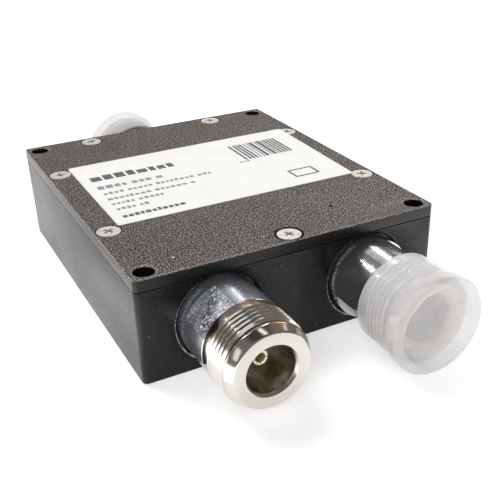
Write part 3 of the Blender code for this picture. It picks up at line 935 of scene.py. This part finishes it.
def makePrint(sizes):
    # words become rows of plain blocks, set on the film together with plain bars and an empty frame
    random.seed(sizes["seed"])
    groups = {"ink": [], "paleInk": []}
    low, top = sizes["top"] - sizes["printSunk"], sizes["printTop"]

    def addMark(start, end):
        return addBlock("mark", (*start, low), (*end, top))

    for left, right, middle, height, width, gap, ink in sizes["rows"]:
        x, letters = left, 0
        wordLength = random.randint(4, 8)
        while x < right - width * 0.5:
            letter = min(width * random.uniform(0.7, 1.25), right - x)
            tall = height * random.choice((1, 0.74, 0.74, 0.86))
            foot = middle - height / 2
            block = addMark((x, foot), (x + letter, foot + tall))
            roundUprights(block, 0.3 * min(letter, tall), 3)
            groups[ink].append(block)
            x += letter + gap
            letters += 1
            if letters == wordLength and ink == "paleInk":
                x, letters, wordLength = x + width * 0.7, 0, random.randint(3, 8)
    left, right, bottom, upper = sizes["bars"]
    x = left
    while x < right - 0.3:
        width = random.choice((0.28, 0.28, 0.5, 0.8))
        groups["ink"].append(addMark((x, bottom), (min(x + width, right), upper)))
        x += width + random.choice((0.3, 0.3, 0.55))
    left, right, bottom, upper, line = sizes["frameMark"]
    for a, b in (((left, bottom), (right, bottom + line)), ((left, upper - line), (right, upper)),
                 ((left, bottom + line), (left + line, upper - line)),
                 ((right - line, bottom + line), (right, upper - line))):
        groups["ink"].append(addMark(a, b))
    for ink, blocks in groups.items():
        whole = joinPieces(blocks)
        whole.name = "label_print_dark" if ink == "ink" else "label_print_pale"
        seatPiece(whole, [finishes[ink]], [])


makeLabel(labelSizes)
makePrint(labelSizes)
print("label made")


# jack shells

shellSizes = {
    "facets": 128,
    "front": [
        (3.6, -5.9), (3.6, 9.45), (4.28, 9.45), (4.28, 17.85), (4.7, 18.45), (6.75, 18.45),
        (6.98, 18.22), (7.7175, 16.9), (7.7175, 16.3), (7.05, 16.3), (7.05, 15.8), (7.9375, 15.8),
        (7.9375, 9.42), (7.78, 9.24), (7.78, 9.1), (7.862, 9.0), (7.862, 8.9),
    ],
    "back": [(7.88, 0.1), (7.88, -1.2), (5.6, -1.2), (5.6, -5.9), (3.6, -5.9)],
    # first and last height of the lathe's rings, step, radius and depth
    "rings": (8.8, 0.2, 0.1, 7.862, 0.009),
    "ringSeed": 11,
    "ease": 0.1,
    "socketReach": 4.5,
    "grooveReach": (6, 7.45),
    "grooveSpan": (9.4, 16.35),
    "threadRoot": 7.3575,
    "threadTop": 7.98,
    "rootFlat": 0.26,
    "threadStart": 11.217,
    "threadEnd": 16.2,
    "threadSteps": 96,
    "threadTurns": 5,
    "threadAngle": 60,
    "flatDistance": 6.95,
    "flatStart": 2.0,
    "flatEnd": 9.1,
}


def makeThreadCutter(sizes):
    # a trapezoid that is swept along the helix of the thread's groove
    root, top, flat = sizes["threadRoot"], sizes["threadTop"], sizes["rootFlat"]
    mouth = flat + 2 * math.tan(math.radians(sizes["threadAngle"] / 2)) * (top - root)
    bpy.ops.object.select_all(action="DESELECT")
    bpy.ops.mesh.primitive_plane_add(size=1, rotation=(math.pi / 2, 0, 0),
                                     location=((root + top) / 2, 0, sizes["threadStart"]))
    groove = bpy.context.object
    groove.scale = (top - root, mouth, 1)
    bpy.ops.object.transform_apply(location=True, rotation=True, scale=True)
    pickEdges(groove, lambda a, b: a.x < root + nearly and b.x < root + nearly)
    bpy.ops.transform.resize(value=(1, 1, flat / mouth), center_override=(root, 0, sizes["threadStart"]))
    bpy.ops.mesh.select_all(action="SELECT")
    bpy.ops.mesh.delete(type="ONLY_FACE")
    editMode(False)
    sweep = groove.modifiers.new("sweep", "SCREW")
    sweep.angle = math.tau
    sweep.screw_offset = threadPitch
    sweep.iterations = sizes["threadTurns"]
    sweep.steps = sweep.render_steps = sizes["threadSteps"]
    sweep.use_merge_vertices = False
    bpy.ops.object.modifier_apply(modifier=sweep.name)
    editMode(True)
    closeUp()
    bpy.ops.mesh.select_all(action="SELECT")
    bpy.ops.mesh.bisect(plane_co=(0, 0, sizes["threadEnd"]), plane_no=(0, 0, 1), use_fill=True,
                        clear_outer=True)
    editMode(False)
    return groove


def makeShell(sizes):
    # fine rings from the lathe run round the hub and draw its highlights out along the axis
    random.seed(sizes["ringSeed"])
    rings = []
    height, last, step, radius, depth = sizes["rings"]
    while height > last + 4 * step:
        rise = depth * random.uniform(0.3, 1)
        rings += [(radius, height), (radius + rise, height - step), (radius, height - 2 * step),
                  (radius - rise, height - 3 * step)]
        height -= 4 * step
    outline = eased(sizes["front"], sizes["ease"]) + rings + eased(sizes["back"], sizes["ease"])
    shell = turnPiece("shell", outline, sizes["facets"])
    cutAway(shell, makeThreadCutter(sizes))
    inner, outer = sizes["grooveReach"]
    start, end = sizes["grooveSpan"]
    giveSlot(shell, 2, lambda centre, normal: centre.xy.length < sizes["socketReach"]
             and normal.xy.dot(centre.xy) < 0)
    giveSlot(shell, 3, lambda centre, normal: start < centre.z < end
             and inner < centre.xy.length < outer)
    return shell


def cutFlats(shell, sizes, angle):
    distance = sizes["flatDistance"]
    for side in (0, math.pi):
        flat = addBlock("flat", (distance, -12, sizes["flatStart"]), (distance + 4, 12, sizes["flatEnd"]))
        turnAndMove(flat, (0, 0, math.radians(angle) + side))
        cutAway(shell, flat)
    across = Vector((math.cos(math.radians(angle)), math.sin(math.radians(angle)), 0))
    giveSlot(shell, 1, lambda centre, normal: abs(normal.dot(across)) > 0.999
             and abs(abs(centre.dot(across)) - distance) < 0.01
             and sizes["flatStart"] < centre.z < sizes["flatEnd"])


masterShell = makeShell(shellSizes)
for name, jackX, way, angle, capped in jacks:
    shell = copyPiece(masterShell, "shell_" + name)
    cutFlats(shell, shellSizes, angle)
    ontoJack(shell, jackX, way)
    flats = "nickel" if capped else "milled"
    seatPiece(shell, [finishes[key] for key in ("nickel", flats, "socket", "groove")],
              ["jack_shell_" + name], 28)
bpy.data.objects.remove(masterShell, do_unlink=True)
print("jack shells made")


# insulators and centre contacts

coreSizes = {
    "insulator": [(0.85, -6.2), (0.85, 4.15), (1.7, 4.15), (1.7, 9.15), (3.4, 9.15), (3.4, -6.2),
                  (0.85, -6.2)],
    "contact": [(0.1, -9.5), (0.5, -9.5), (0.65, -9.35), (0.65, 4.35), (1.5, 4.35), (1.5, 14.05),
                (1.44, 14.22), (1.3, 14.33), (1.12, 14.35), (0.9, 14.28), (0.78, 14.1), (0.78, 10.6),
                (0.4, 10.4), (0.1, 10.35)],
    "slotWidth": 0.16,
    "slotDepth": 4.6,
    "tip": 14.35,
    "goldReach": 0.86,
    "goldStart": 8,
    "ease": 0.12,
}


def makeContact(sizes):
    contact = turnPiece("contact", sizes["contact"], 64)
    for turn in (0, 90):
        slot = addBlock("slot", (-3, -sizes["slotWidth"] / 2, sizes["tip"] - sizes["slotDepth"]),
                        (3, sizes["slotWidth"] / 2, sizes["tip"] + 1))
        turnAndMove(slot, (0, 0, math.radians(turn)))
        cutAway(contact, slot)
    giveSlot(contact, 1, lambda centre, normal: centre.xy.length < sizes["goldReach"]
             and centre.z > sizes["goldStart"] and normal.xy.dot(centre.xy) <= 0)
    return contact


masterContact = makeContact(coreSizes)
masterInsulator = turnPiece("insulator", eased(coreSizes["insulator"], coreSizes["ease"]), 64)
for name, jackX, way, angle, capped in jacks:
    contact = copyPiece(masterContact, "pin_" + name)
    ontoJack(contact, jackX, way)
    seatPiece(contact, [finishes["contact"], finishes["gold"]], ["contact_" + name])
    insulator = copyPiece(masterInsulator, "sleeve_" + name)
    ontoJack(insulator, jackX, way)
    seatPiece(insulator, [finishes["insulator"]], ["insulator_" + name])
for master in (masterContact, masterInsulator):
    bpy.data.objects.remove(master, do_unlink=True)
print("contacts made")


# dust caps

capSizes = {
    "facets": 128,
    "profile": [
        (0.05, 18.75), (8.1875, 18.75), (8.1875, 9.9), (8.6375, 9.9), (8.6375, 16.6),
        (8.655, 17.1), (8.72, 17.6), (8.84, 18.15), (9.02, 18.7), (9.2, 19.15), (9.2375, 19.5),
        (9.2375, 21.0), (9.18, 21.25), (9.02, 21.42), (8.78, 21.5), (7.45, 21.5), (7.25, 21.35),
        (6.9, 20.4), (6.65, 20.22), (0.05, 20.2),
    ],
    "ease": 0.12,
    "rise": 0.125,
}


def makeCap(sizes):
    return turnPiece("cap", eased(sizes["profile"], sizes["ease"]), sizes["facets"])


masterCap = makeCap(capSizes)
for name, jackX, way, angle, capped in jacks:
    if capped:
        cap = copyPiece(masterCap, "cap_" + name)
        ontoJack(cap, jackX, way, capSizes["rise"])
        seatPiece(cap, [finishes["cap"]], ["dust_cap_" + name], 40)
bpy.data.objects.remove(masterCap, do_unlink=True)
print("caps made")


# CAD nodes that stay, with better finishes

keptFinishes = {"circuit_board": "laminate", "divider_track": "copper", "resistor_1": "resistor",
                "resistor_2": "resistor"}
keptFinishes.update({f"board_screw_{count}": "screw" for count in range(1, 5)})
for node, finish in keptFinishes.items():
    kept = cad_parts[node]
    for slot in kept.material_slots:
        slot.material = finishes[finish]

bpy.context.view_layer.update()
